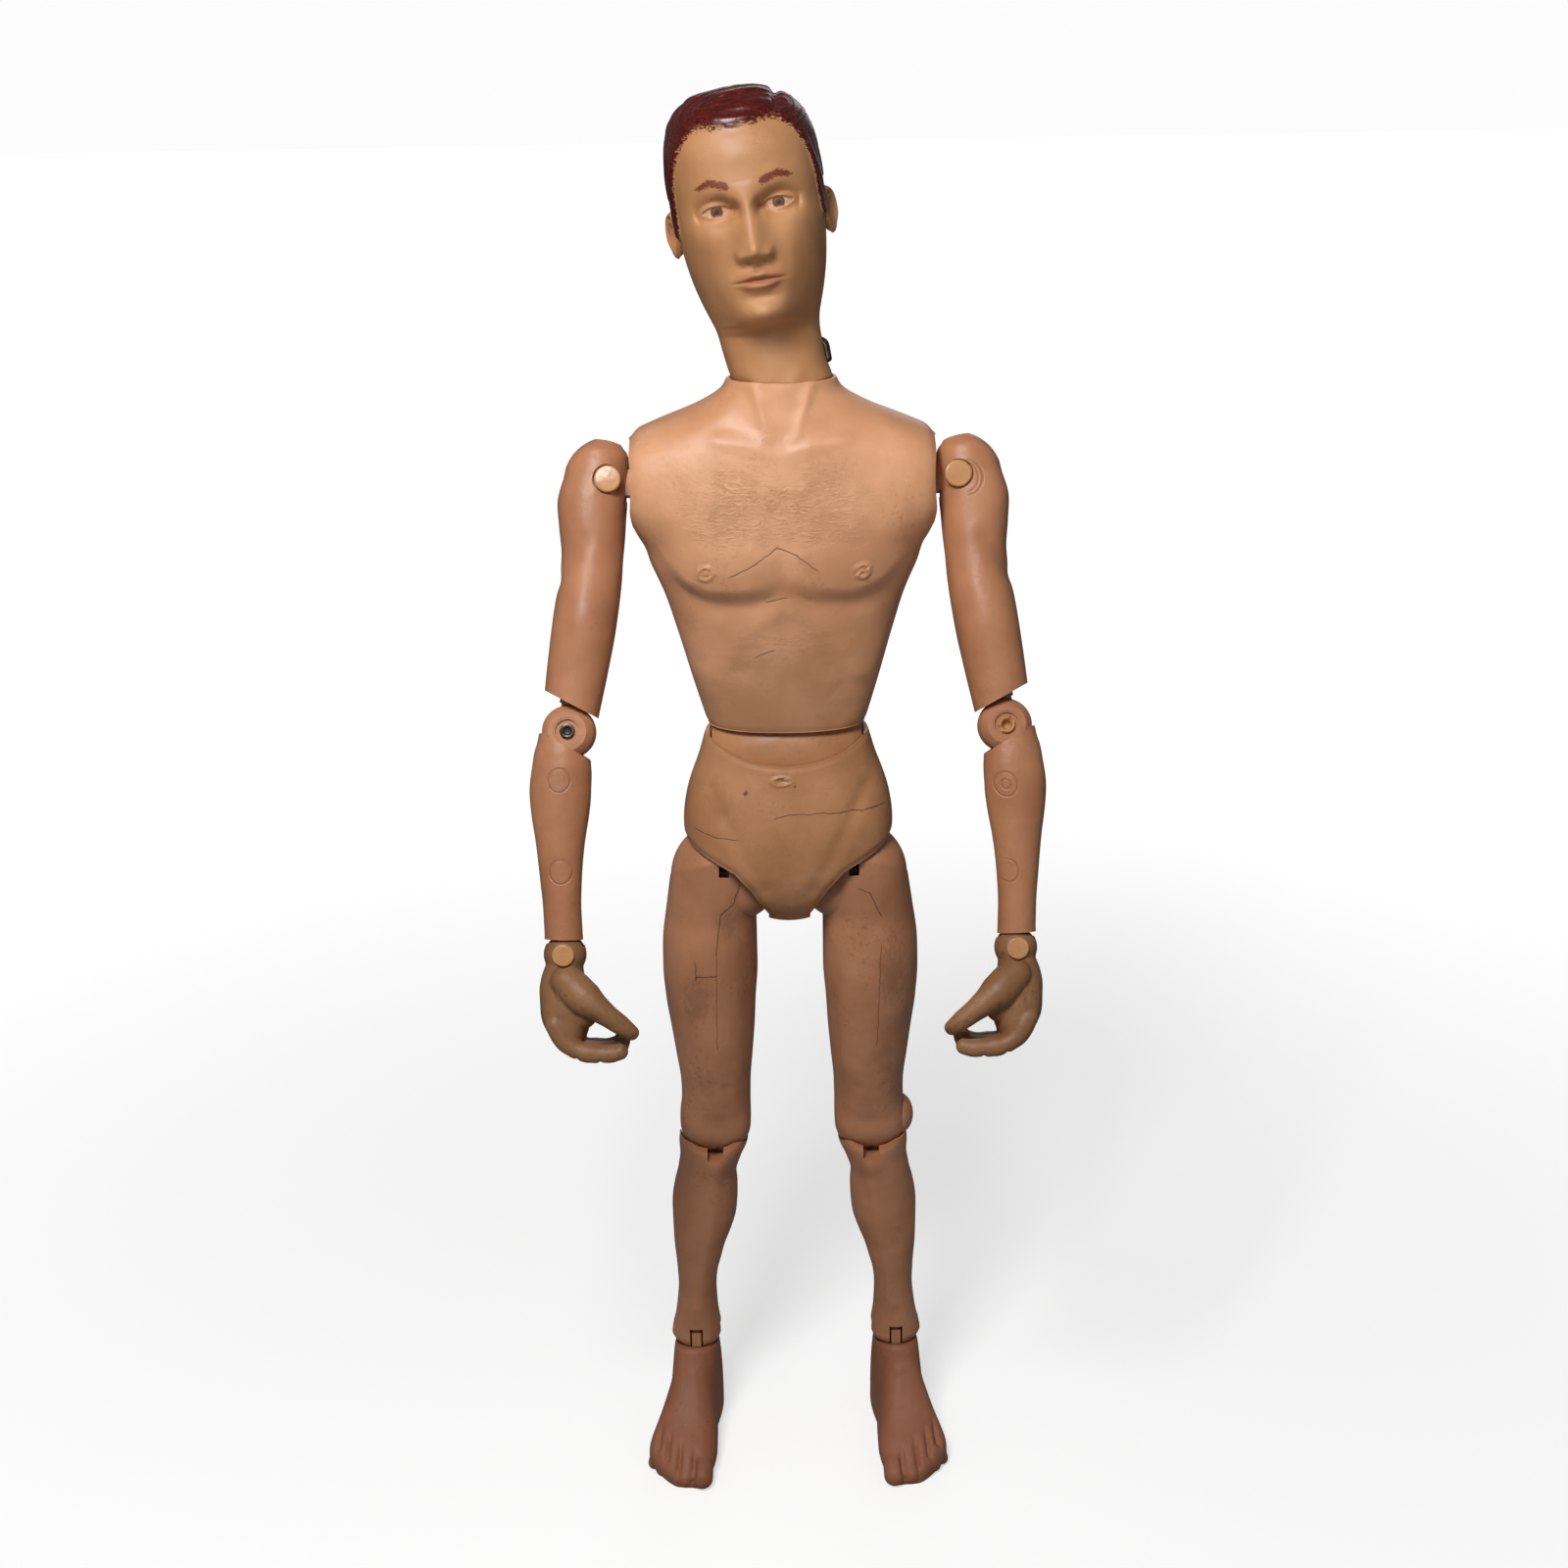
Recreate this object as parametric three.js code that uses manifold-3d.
// A posable figure of a standing man, made of jointed plastic pieces.
// Millimetres. The soles stand on z = 0, the figure faces -y and its left side is +x.

import * as THREE from 'three';
import { mergeVertices } from 'three/addons/utils/BufferGeometryUtils.js';
import Module from 'manifold-3d';

const wasm = await Module();
wasm.setup();

// Clearances
const JOINT_GAP = 0.35; // between two surfaces that slide on each other
const PIN_GAP = 0.3; // around a pin in its hole
const SLOT_GAP = 0.35; // on each side of a tongue in its slot

// Heights of the joints, each from the one below it
const ANKLE_HEIGHT = 25;
const SHIN_LENGTH = 54;
const THIGH_LENGTH = 58.5;
const HIP_TO_WAIST = 27.5;
const WAIST_TO_CHEST = 6.2;
const CHEST_HEIGHT = 71;
const CHEST_TO_SHOULDER = 50.5;
const COLLAR_TO_NECK = 5.8;

// Places across and along the body
const HIP_X = 13.6;
const HIP_Y = -2;
const KNEE_OUT = 3.6; // knee pin outside the hip pin
const KNEE_BACK = 2.5; // knee pin behind the hip pin
const ANKLE_OUT = 5.7; // ankle pin outside the knee pin
const ANKLE_BACK = 0.5;
const SHOULDER_X = 34.7;
const SHOULDER_Y = -2.4;
const ARMHOLE_X = 30.8;
const CORD_Y = 0.6; // the upright cord, the waist and the neck stand on this line

// Arm lengths and the pose in which the figure stands
const UPPER_ARM_LENGTH = 50.5;
const FOREARM_LENGTH = 44.5;
const ARM_FORWARD = 19; // degrees
const ARM_OUT = 10.2;
const ELBOW_IN = 8.3;
const HEAD_LEAN = 8.5;
const TOES_OUT = 6;

// Joint hardware
const PIN_RADIUS = 1.5;
const CAP_RADIUS = 2.7;
const CAP_THICK = 1.2;
const RIVET_RADIUS = 1.2;
const RIVET_HEAD_RADIUS = 1.55;
const RIVET_RECESS_RADIUS = 2.4;
const WRIST_PIN_RADIUS = 1.1;
const WRIST_CAP_RADIUS = 2.2;
const CORD_RADIUS = 1.3;
const CROSS_CORD_RADIUS = 1.1;
const CORD_KNOT_RADIUS = 2.3;

// Neck
const NECK_DOME_RADIUS = 11.6;
const NECK_CUP_RADIUS = NECK_DOME_RADIUS + JOINT_GAP;
const NECK_PIN_RADIUS = 0.8;
const NECK_PIN_BEND = 8.9; // where the pin turns down
const HOOK_RADIUS = 1.1;
const HOOK_EYE_RADIUS = 2.9;
const HOOK_COLLAR_RADIUS = 2.6;
const HOOK_COLLAR_LENGTH = 5;

// Chest
const CHEST_WALL = 2.6;
const CHEST_FLOOR = 2.8;
const BREAST_SIZE = [12, 4.6, 8.6]; // half the width, depth and height of each breast muscle
const BREAST_PLACE = [13, -11.6, 37];
const CHEST_CAVITY_HEIGHT = 56;
const CHEST_CAVITY_HALF_WIDTH = 21.6;
const SHOULDER_CUP_RADIUS = 9.9;
const HUB_BLADE_HALF = 1.9;
const HUB_BLADE_HEIGHT = 2.6;
const HUB_SHAFT_RADIUS = 3.1;
const HUB_FLANGE_RADIUS = 5;
const HUB_FLANGE_THICK = 1.5;
const HUB_TONGUE_RADIUS = 3.6;
const HUB_EYE_RADIUS = 2.3;
const HUB_EYE_LENGTH = 2.2;

// Waist
const WAIST_HALF_LENGTH = 15.6;
// Share of the half-length and radius of the barrel there.
const WAIST_PROFILE = [[1, 6.2], [0.9, 7.9], [0.77, 9.2], [0.55, 10.6], [0.28, 11.4], [0, 11.6]];
const WAIST_BELOW = 3; // barrel material under the tilting line
const WAIST_TILT_ROOM = 3.2; // room below the barrel for tilting
const WAIST_SPIGOT_RADIUS = 7.5;
const WAIST_SPIGOT_HEIGHT = 2.6;
const STUD_RADIUS = 2.4;
const STUD_FLANGE_RADIUS = 4.5;
const STUD_FLANGE_THICK = 1.1;
const STUD_HEIGHT = 12; // above the tilting line

// Hip
const HIP_DOME_RADIUS = 11.6;
const HIP_CUP_RADIUS = HIP_DOME_RADIUS + JOINT_GAP;
const HIP_LINK_HALF = 0.95;
const HIP_LINK_DEPTH = 1.8;
const HIP_LINK_RADIUS = 4.4;
const HIP_EYE_HEIGHT = 15.2;
const HIP_EYE_RADIUS = 3.4;
const HIP_EYE_BORE = 2.3;
const HIP_PIN_RADIUS = 1.6;
const PELVIS_RIM_RADIUS = 30;
const PELVIS_RIM_FRONT = 27; // lowest point of the rim above the hip pins

// Elbow and wrist
const ELBOW_BALL_RADIUS = 5.9;
const ELBOW_EAR_RADIUS = 5.2;
const ELBOW_EAR_DEPTH = 4.5;
const KNUCKLE_HALF = 1.7;
const KNUCKLE_RADIUS = 5.3;
const KNUCKLE_STEM_RADIUS = 2.9;
const KNUCKLE_STEM_LENGTH = 8;
const ARM_CUT_ABOVE_ELBOW = 5.4;
const ARM_CUT_SLOPE = 0.33;
const WRIST_BALL_RADIUS = 4.3;
const POST_HALF = 1.2;
const POST_RADIUS = 3.2;
const POST_STEM_RADIUS = 2;
const POST_STEM_LENGTH = 7;
const FOREARM_END_ABOVE_WRIST = 3;

// Knee and ankle
const KNEE_RADIUS = 7.6;
const KNEE_HALF_WIDTH = 7.9; // of the round end of the thigh
const KNEE_LINK_HALF = 1.4;
const KNEE_LINK_RADIUS = 4.8;
const KNEE_LINK_DEPTH = 3.6;
const KNEE_LINK_LENGTH = 14.5;
const KNEE_BOSS_RADIUS = 4; // domed pin head on the left knee only
const KNEE_BOSS_FROM = 8.4;
const KNEE_BOSS_TO = 9.9;
const KNEE_RIM_DROP = 4.8; // shin's front rim below the knee pin
const KNEE_RIM_CURVE = 8;
const KNEE_RIM_OUT = 0.6;
const KNEE_NOTCH_HEIGHT = 2.3;
const ANKLE_BALL_RADIUS = 5.6;
const ANKLE_LINK_HALF = 1.1;
const ANKLE_LINK_RADIUS = 3.9;
const ANKLE_LUG_FRONT = 4.8;
const ANKLE_LUG_TOP = -1.5;
const ANKLE_STEM_RADIUS = 2.2;
const ANKLE_STEM_LENGTH = 15;
const ANKLE_PIN_RADIUS = 1.2;

// Cross-sections, from the top of a piece to its end: share of the piece's length, centre
// sideways and fore-and-aft, half-width, depth to the front and to the back, squareness.
const CHEST_SECTIONS = [
  [1.0, 0, 0.5, 10.95, 11.2, 11.4, 2],
  [0.972, 0, 0.4, 12.2, 11.2, 11.6, 2],
  [0.931, 0, 0.2, 17.1, 11, 11.6, 2.1],
  [0.889, 0, 0, 24.6, 11.4, 11.8, 2.3],
  [0.85, 0, 0, 31, 12.2, 12.2, 2.5],
  [0.803, 0, 0, 38, 13.2, 12.8, 2.6],
  [0.732, 0, 0, 42, 14.4, 13.8, 2.6],
  [0.66, 0, 0, 39, 15.4, 14.3, 2.6],
  [0.6, 0, 0, 33, 15.9, 14.3, 2.6],
  [0.554, 0, 0, 29.3, 15.9, 14.2, 2.6],
  [0.479, 0, 0, 27.1, 15.6, 13.8, 2.5],
  [0.394, 0, 0, 24.6, 14, 13.2, 2.4],
  [0.293, 0, 0, 22.4, 12.6, 12.4, 2.4],
  [0.117, 0, 0, 18.9, 11.4, 11.2, 2.3],
  [0.0, 0, 0, 16.4, 11.1, 10.9, 2.3],
];
// Heights above the hip pins in millimetres stand in place of the shares here.
const PELVIS_SECTIONS = [
  [32, 0, 0, 17, 12.4, 13, 2.4],
  [26, 0, 0, 18.8, 13.3, 13.8, 2.4],
  [22.5, 0, 0, 20.1, 14, 14.6, 2.5],
  [19, 0, 0, 21.2, 14.7, 15.3, 2.6],
  [12.5, 0, 0, 22.1, 15.5, 16, 2.8],
  [9.5, 0, 0, 22, 15.7, 15.8, 2.8],
  [4, 0, 0, 21.5, 15.5, 14.8, 2.8],
  [-1, 0, 0, 18, 14, 13, 2.4],
  [-5, 0, 0, 13, 11.7, 11, 2.1],
  [-8, 0, 0, 8, 8.8, 9, 2],
];
const UPPER_ARM_SECTIONS = [
  [-0.156, 1.6, 0, 2, 2.5, 2.5, 2],
  [-0.131, 1.9, 0, 4.6, 4.8, 4.8, 2],
  [-0.07, 2.2, 0, 5.8, 6.2, 6.2, 2.1],
  [0, 2.4, 0, 6.2, 6.8, 6.8, 2.2],
  [0.1, 2.6, 0, 6.9, 7, 7, 2.2],
  [0.2, 2, 0, 6.7, 6.9, 6.9, 2.2],
  [0.32, 1, 0, 6.2, 6.7, 6.6, 2.1],
  [0.55, 0.5, -0.2, 6.4, 6.8, 6.4, 2.1],
  [0.75, 0.4, 0, 6.1, 6.2, 6.2, 2.1],
  [0.93, 0.3, 0, 5.6, 5.8, 5.8, 2.1],
];
const FOREARM_SECTIONS = [
  [0.01, 2, 0, 4, 4.7, 4.7, 2.1],
  [0.07, 1.3, 0, 5.2, 5.1, 5.1, 2.1],
  [0.16, 1.3, 0, 5.75, 5.4, 5.4, 2.1],
  [0.27, 1.5, 0, 5.9, 5.5, 5.5, 2.1],
  [0.37, 1.5, 0, 5.6, 5.3, 5.3, 2.1],
  [0.5, 1.4, 0, 4.85, 4.9, 4.8, 2.1],
  [0.67, 1.1, 0, 4.15, 4.4, 4.3, 2.1],
  [0.81, 0.7, 0, 3.8, 4.1, 4.1, 2.1],
  [0.9, 0.4, 0, 3.8, 4, 4, 2.1],
  [0.955, 0.25, 0, 3.9, 4, 4, 2.1],
];
const THIGH_SECTIONS = [
  [-0.196, 0, 0.5, 9.8, 10.3, 11.5, 2.1],
  [-0.17, 0.6, 0.5, 9.8, 10.3, 11.5, 2.1],
  [-0.125, 1, 0.5, 9.9, 10.3, 11.5, 2.1],
  [-0.065, 1.4, 0.5, 10, 10.3, 11.6, 2.1],
  [0, 1.8, 0.5, 10, 10.3, 11.8, 2.1],
  [0.07, 2.5, 0.6, 9.9, 10.2, 11.8, 2.1],
  [0.128, 3.1, 0.8, 9.8, 10.1, 11.7, 2.1],
  [0.24, 3.65, 1, 10.15, 11.2, 11.6, 2.1],
  [0.36, 3.75, 1.2, 10.25, 11.6, 11.2, 2.1],
  [0.48, 3.8, 1.5, 9.8, 11.3, 10.5, 2.1],
  [0.6, 3.55, 1.8, 9.15, 10.8, 9.6, 2.1],
  [0.72, 3.4, 2.1, 8.4, 10.2, 8.6, 2.1],
  [0.84, 3.3, 2.4, 7.7, 9.2, 7.4, 2.1],
  [0.91, 3.3, 2.5, 7.6, 8.7, 6.8, 2.1],
  [0.975, 3.8, 2.5, 8, 8.3, 6.6, 2.2],
  [1, 3.7, 2.5, 7.9, 8, 6.5, 2.2],
  [1.004, 3.6, 2.5, 7.9, 8, 7.6, 2.2],
  [1.03, 3.6, 2.5, 7.9, 8, 7.6, 2.2],
  [1.06, 3.6, 2.5, 7.9, 8, 7.6, 2.2],
  [1.085, 3.6, 2.5, 7.9, 8, 7.6, 2.2],
  [1.105, 3.6, 2.5, 7.9, 8, 7.6, 2.2],
  [1.12, 3.6, 2.5, 7.9, 8, 7.6, 2.2],
];
const SHIN_SECTIONS = [
  [-0.01, 0.35, 0, 7.6, 8.1, 7, 2.2],
  [0.09, 0.55, 0, 7.7, 8.5, 7.5, 2.2],
  [0.165, 1.3, 0, 6.9, 8.3, 7.8, 2.1],
  [0.235, 2.2, 0, 6.6, 7.9, 8.4, 2.1],
  [0.303, 2.6, 0.1, 7.1, 7.6, 9.2, 2.1],
  [0.376, 2.95, 0.2, 7.35, 7.4, 9.6, 2.1],
  [0.449, 3.2, 0.3, 7.15, 7.2, 9.2, 2.1],
  [0.518, 3.75, 0.3, 6.55, 6.9, 8.4, 2.1],
  [0.587, 4.4, 0.4, 5.8, 6.6, 7.4, 2.1],
  [0.655, 4.75, 0.4, 5.15, 6.3, 6.5, 2.1],
  [0.72, 5.1, 0.5, 4.6, 6, 5.9, 2.1],
  [0.79, 5.25, 0.5, 4.35, 5.7, 5.6, 2.1],
  [0.87, 5.4, 0.5, 4.6, 5.5, 5.5, 2.1],
  [0.944, 5.55, 0.5, 5, 5.4, 5.4, 2.1],
  [1.0, 5.7, 0.5, 5.3, 5.4, 5.4, 2.1],
  [1.03, 5.75, 0.5, 5.4, 5.5, 5.5, 2.1],
  [1.06, 5.75, 0.5, 5.4, 5.5, 5.5, 2.1],
  [1.085, 5.75, 0.5, 5.2, 5.4, 5.4, 2.1],
];
// Heights above the neck's turning centre in millimetres.
const HEAD_SECTIONS = [
  [-6.2, -0.3, 0, 9.5, 9.4, 9.6, 2],
  [-4.4, -0.9, 0, 9.7, 9.4, 9.8, 2],
  [0, -1.5, 0, 9.9, 9.2, 10.2, 2],
  [3.6, -1.7, 0, 10.2, 9.2, 10.8, 2],
  [5.6, -1.7, 0, 10.7, 13.6, 11.4, 2.1],
  [7.2, -1.7, 0, 11.3, 16.4, 12, 2.1],
  [10, -1.7, 0, 12.2, 17.3, 13, 2.1],
  [14, -1.7, 0, 13.1, 17, 14.6, 2.2],
  [19, -1.7, 0, 13.9, 16.8, 16.6, 2.2],
  [24, -1.7, 0, 14.4, 16.5, 18.2, 2.2],
  [28.5, -1.7, 0, 14.5, 15.9, 19, 2.2],
  [32.5, -1.7, 0, 14.6, 17, 19.4, 2.2],
  [37, -1.7, 0, 14.6, 16.8, 19.4, 2.2],
  [41.5, -1.7, 0, 14, 15.6, 18.6, 2.2],
  [45.5, -1.7, 0, 12.2, 13, 16.2, 2.1],
  [48, -1.7, 0, 9, 9.6, 12.4, 2],
  [49.85, -1.7, 0, 4.5, 4.8, 6.6, 2],
];
const HEAD_SIDEWAYS = -1.7; // the head sits a little to the right of the neck
const HAIR_THICK = 0.8;
const HAIRLINE_FRONT = 38.5; // height of the hairline over the brow
const HAIRLINE_NAPE = 12;
// Foot sections run from the heel to the toe roots: distance in front of the ankle pin,
// centre sideways, half-width, height and squareness of the upper half.
const FOOT_SECTIONS = [
  [-12.6, 0, 2.6, 8, 2.2],
  [-11.4, 0, 4.2, 11.5, 2.4],
  [-9.2, 0, 4.9, 15.4, 2.6],
  [-7.4, 0, 5.3, 19, 2.8],
  [-6.1, 0, 5.6, 22.8, 3],
  [-4.4, 0, 6, 28, 3.4],
  [4.4, 0, 6, 28, 3.4],
  [6.1, 0, 5.8, 23.6, 3],
  [7.6, 0.1, 5.9, 19.6, 2.8],
  [9.4, 0.3, 6.2, 16.4, 2.7],
  [12, 0.6, 6.7, 13.6, 2.6],
  [15, 0.9, 7.3, 11, 2.4],
  [18, 1.1, 7.7, 9.2, 2.2],
  [21.5, 1.3, 7.7, 7.2, 2.2],
  [24, 1.3, 6.9, 5.2, 2.2],
  [25.4, 1.2, 5.8, 3.6, 2.2],
];
// Toes from the great toe outwards: place sideways, reach in front of the ankle, radius.
const TOES = [
  [-4.1, 28.4, 2.45],
  [-0.2, 28.2, 1.75],
  [2.9, 27.2, 1.65],
  [5.6, 25.8, 1.55],
  [7.9, 23.8, 1.45],
];
const FOOT_RIM = [[-7, 21.2], [7, 22.6]]; // height of the ankle opening behind and in front
// Fingers from the first to the fourth: place across the hand, radius, how far the tip curls up.
const FINGERS = [
  [-5, 1.95, 0.2],
  [-1.6, 2, 0.75],
  [1.8, 1.9, 1],
  [4.9, 1.7, 1],
];

const FINISHES = {
  head: { color: 0xbe9164, roughness: 0.5, metalness: 0 },
  chest: { color: 0xc8916e, roughness: 0.5, metalness: 0 },
  pelvis: { color: 0xb9875f, roughness: 0.5, metalness: 0 },
  arm: { color: 0xbe8264, roughness: 0.5, metalness: 0 },
  knuckle: { color: 0xc39068, roughness: 0.5, metalness: 0 },
  hand: { color: 0x8c5f3c, roughness: 0.55, metalness: 0 },
  leg: { color: 0xa87852, roughness: 0.5, metalness: 0 },
  cap: { color: 0xcfa77c, roughness: 0.4, metalness: 0 },
  steel: { color: 0x8e8e8c, roughness: 0.4, metalness: 0.9 },
  cord: { color: 0xd9cfbe, roughness: 0.8, metalness: 0 },
};

const LIMB_SIDES = 12;
const BODY_SIDES = 20;
const HEAD_SIDES = 16;
const ROUND_SIDES = 12;
const FAR = 60; // longer than any cut needs

// Turns a closed three.js geometry into a solid that can be joined and cut.
function solid(geometry) {
  const plain = new THREE.BufferGeometry();
  plain.setAttribute('position', geometry.getAttribute('position'));
  plain.setIndex(geometry.getIndex());
  const merged = mergeVertices(plain, 1e-4);
  const points = merged.getAttribute('position').array;
  const corners = merged.getIndex().array;
  const faces = [];
  let volume = 0;
  const a = new THREE.Vector3();
  const b = new THREE.Vector3();
  const c = new THREE.Vector3();
  for (let i = 0; i < corners.length; i += 3) {
    const [p, q, r] = [corners[i], corners[i + 1], corners[i + 2]];
    if (p === q || q === r || r === p) {
      continue;
    }
    faces.push(p, q, r);
    a.fromArray(points, 3 * p);
    b.fromArray(points, 3 * q);
    c.fromArray(points, 3 * r);
    volume += a.dot(b.cross(c));
  }
  if (volume < 0) {
    for (let i = 0; i < faces.length; i += 3) {
      [faces[i], faces[i + 1]] = [faces[i + 1], faces[i]];
    }
  }
  return new wasm.Manifold(new wasm.Mesh({
    numProp: 3,
    vertProperties: Float32Array.from(points),
    triVerts: Uint32Array.from(faces),
  }));
}

function join(first, ...others) {
  return others.reduce((whole, other) => whole.add(other), first);
}

function cut(first, ...others) {
  return others.reduce((whole, other) => whole.subtract(other), first);
}

// Turns a solid back into a geometry; side -1 gives its mirror image in x.
function geometryOf(body, side) {
  const mesh = body.getMesh();
  const points = Float32Array.from(mesh.vertProperties);
  const faces = Uint32Array.from(mesh.triVerts);
  if (side < 0) {
    for (let i = 0; i < points.length; i += 3) {
      points[i] = -points[i];
    }
    for (let i = 0; i < faces.length; i += 3) {
      [faces[i], faces[i + 1]] = [faces[i + 1], faces[i]];
    }
  }
  const geometry = new THREE.BufferGeometry();
  geometry.setAttribute('position', new THREE.BufferAttribute(points, 3));
  geometry.setIndex(new THREE.BufferAttribute(faces, 1));
  geometry.computeVertexNormals();
  return geometry;
}

function block(min, max) {
  const size = max.map((value, i) => value - min[i]);
  const geometry = new THREE.BoxGeometry(...size);
  geometry.translate(...max.map((value, i) => (value + min[i]) / 2));
  return solid(geometry);
}

function ball(radius, [x, y, z] = [0, 0, 0]) {
  const sides = radius > 8 ? 22 : 12;
  const geometry = new THREE.SphereGeometry(radius, sides, sides / 2 + 1);
  geometry.rotateX(Math.PI / 2);
  geometry.translate(x, y, z);
  return solid(geometry);
}

// A round bar along x, y or z; centre gives the other two coordinates in order.
function bar(axis, radius, from, to, centre = [0, 0], sides = ROUND_SIDES) {
  const geometry = new THREE.CylinderGeometry(radius, radius, to - from, sides);
  const middle = (from + to) / 2;
  if (axis === 'x') {
    geometry.rotateZ(-Math.PI / 2);
    geometry.translate(middle, centre[0], centre[1]);
  } else if (axis === 'y') {
    geometry.translate(centre[0], middle, centre[1]);
  } else {
    geometry.rotateX(Math.PI / 2);
    geometry.translate(centre[0], centre[1], middle);
  }
  return solid(geometry);
}

// An outline carried along x (points in y, z) or along y (points in x, z).
function prism(axis, points, from, to) {
  const shape = new THREE.Shape(points.map(([u, v]) => new THREE.Vector2(u, v)));
  const geometry = new THREE.ExtrudeGeometry(shape, { depth: to - from, bevelEnabled: false });
  geometry.translate(0, 0, from);
  const turn = new THREE.Matrix4();
  if (axis === 'x') {
    turn.set(0, 0, 1, 0, 1, 0, 0, 0, 0, 1, 0, 0, 0, 0, 0, 1);
  } else {
    turn.set(1, 0, 0, 0, 0, 0, 1, 0, 0, 1, 0, 0, 0, 0, 0, 1);
  }
  geometry.applyMatrix4(turn);
  return solid(geometry);
}

// A profile of [place, radius] turned about the x, y or z axis.
function turned(axis, profile, sides = ROUND_SIDES) {
  const points = profile.map(([place, radius]) => new THREE.Vector2(radius, place));
  const geometry = new THREE.LatheGeometry(points, sides);
  if (axis === 'x') {
    geometry.rotateZ(-Math.PI / 2);
  } else if (axis === 'z') {
    geometry.rotateX(Math.PI / 2);
  }
  return solid(geometry);
}

// A closed skin over rings of points that all have the same count.
function skin(rings) {
  const sides = rings[0].length;
  const points = rings.flat();
  const index = [];
  for (let ring = 0; ring + 1 < rings.length; ring += 1) {
    for (let side = 0; side < sides; side += 1) {
      const a = ring * sides + side;
      const b = ring * sides + (side + 1) % sides;
      index.push(a, b, b + sides, a, b + sides, a + sides);
    }
  }
  const ends = [[0, 1], [rings.length - 1, 0]];
  ends.forEach(([ring, flip]) => {
    const middle = new THREE.Vector3();
    rings[ring].forEach((point) => middle.add(point));
    points.push(middle.divideScalar(sides));
    for (let side = 0; side < sides; side += 1) {
      const a = ring * sides + side;
      const b = ring * sides + (side + 1) % sides;
      index.push(points.length - 1, flip ? b : a, flip ? a : b);
    }
  });
  const geometry = new THREE.BufferGeometry().setFromPoints(points);
  geometry.setIndex(index);
  return solid(geometry);
}

// A limb or trunk through its cross-sections; length turns shares into heights, grow moves
// the whole surface in or out, and limit can draw each point in to a round end.
function limb(sections, length, sides, grow = 0, limit = (point) => point) {
  const rings = sections.map(([share, cx, cy, halfWidth, front, back, power]) => {
    const points = [];
    for (let side = 0; side < sides; side += 1) {
      const angle = 2 * Math.PI * side / sides;
      const across = Math.cos(angle);
      const along = Math.sin(angle);
      const depth = (along < 0 ? front : back) + grow;
      const x = Math.sign(across) * Math.abs(across) ** (2 / power) * (halfWidth + grow);
      const y = Math.sign(along) * Math.abs(along) ** (2 / power) * depth;
      points.push(limit(new THREE.Vector3(cx + x, cy + y, share * length)));
    }
    return points;
  });
  return skin(rings);
}

// A round finger or wire along points, with a radius at each and rounded-off ends.
function finger(path, radii, sides = 6) {
  const curve = new THREE.CatmullRomCurve3(path.map((point) => new THREE.Vector3(...point)));
  const steps = path.length - 1;
  const stations = [];
  for (let i = 0; i <= steps; i += 1) {
    const share = i / steps;
    const place = share * (radii.length - 1);
    const low = Math.min(Math.floor(place), radii.length - 2);
    const radius = radii[low] + (radii[low + 1] - radii[low]) * (place - low);
    stations.push([curve.getPoint(share), curve.getTangent(share), radius]);
  }
  const [tip, ahead, tipRadius] = stations[steps];
  stations.push([tip.clone().addScaledVector(ahead, 0.6 * tipRadius), ahead, 0.8 * tipRadius]);
  stations.push([tip.clone().addScaledVector(ahead, 0.95 * tipRadius), ahead, 0.35 * tipRadius]);
  const side = new THREE.Vector3(0, 1, 0);
  const rings = stations.map(([centre, tangent, radius]) => {
    side.addScaledVector(tangent, -side.dot(tangent)).normalize();
    const up = new THREE.Vector3().crossVectors(tangent, side);
    const points = [];
    for (let i = 0; i < sides; i += 1) {
      const angle = 2 * Math.PI * i / sides;
      const point = centre.clone();
      point.addScaledVector(side, radius * Math.cos(angle));
      point.addScaledVector(up, radius * Math.sin(angle));
      points.push(point);
    }
    return points;
  });
  return skin(rings);
}

// Draws a point in sideways until it lies within a ball.
function withinBall(point, radius, [x, y, z]) {
  const reach = Math.sqrt(Math.max(radius ** 2 - (point.z - z) ** 2, 0.01));
  const away = Math.hypot(point.x - x, point.y - y);
  const share = Math.min(1, reach / away);
  return point.set(x + (point.x - x) * share, y + (point.y - y) * share, point.z);
}

function group(name, parent, [x, y, z]) {
  const holder = new THREE.Group();
  holder.name = name;
  holder.position.set(x, y, z);
  parent.add(holder);
  return holder;
}

function piece(name, parent, body, finish, side = 1) {
  const mesh = new THREE.Mesh(geometryOf(body, side), new THREE.MeshStandardMaterial(finish));
  mesh.name = name;
  parent.add(mesh);
}

// Trunk

function waistForm(grow) {
  const half = WAIST_HALF_LENGTH + grow;
  const right = WAIST_PROFILE.map(([share, radius]) => [-share * half, radius + grow]);
  const left = right.slice(0, -1).reverse().map(([place, radius]) => [-place, radius]);
  return turned('x', [[-half, 0], ...right, ...left, [half, 0]], 28);
}

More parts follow.
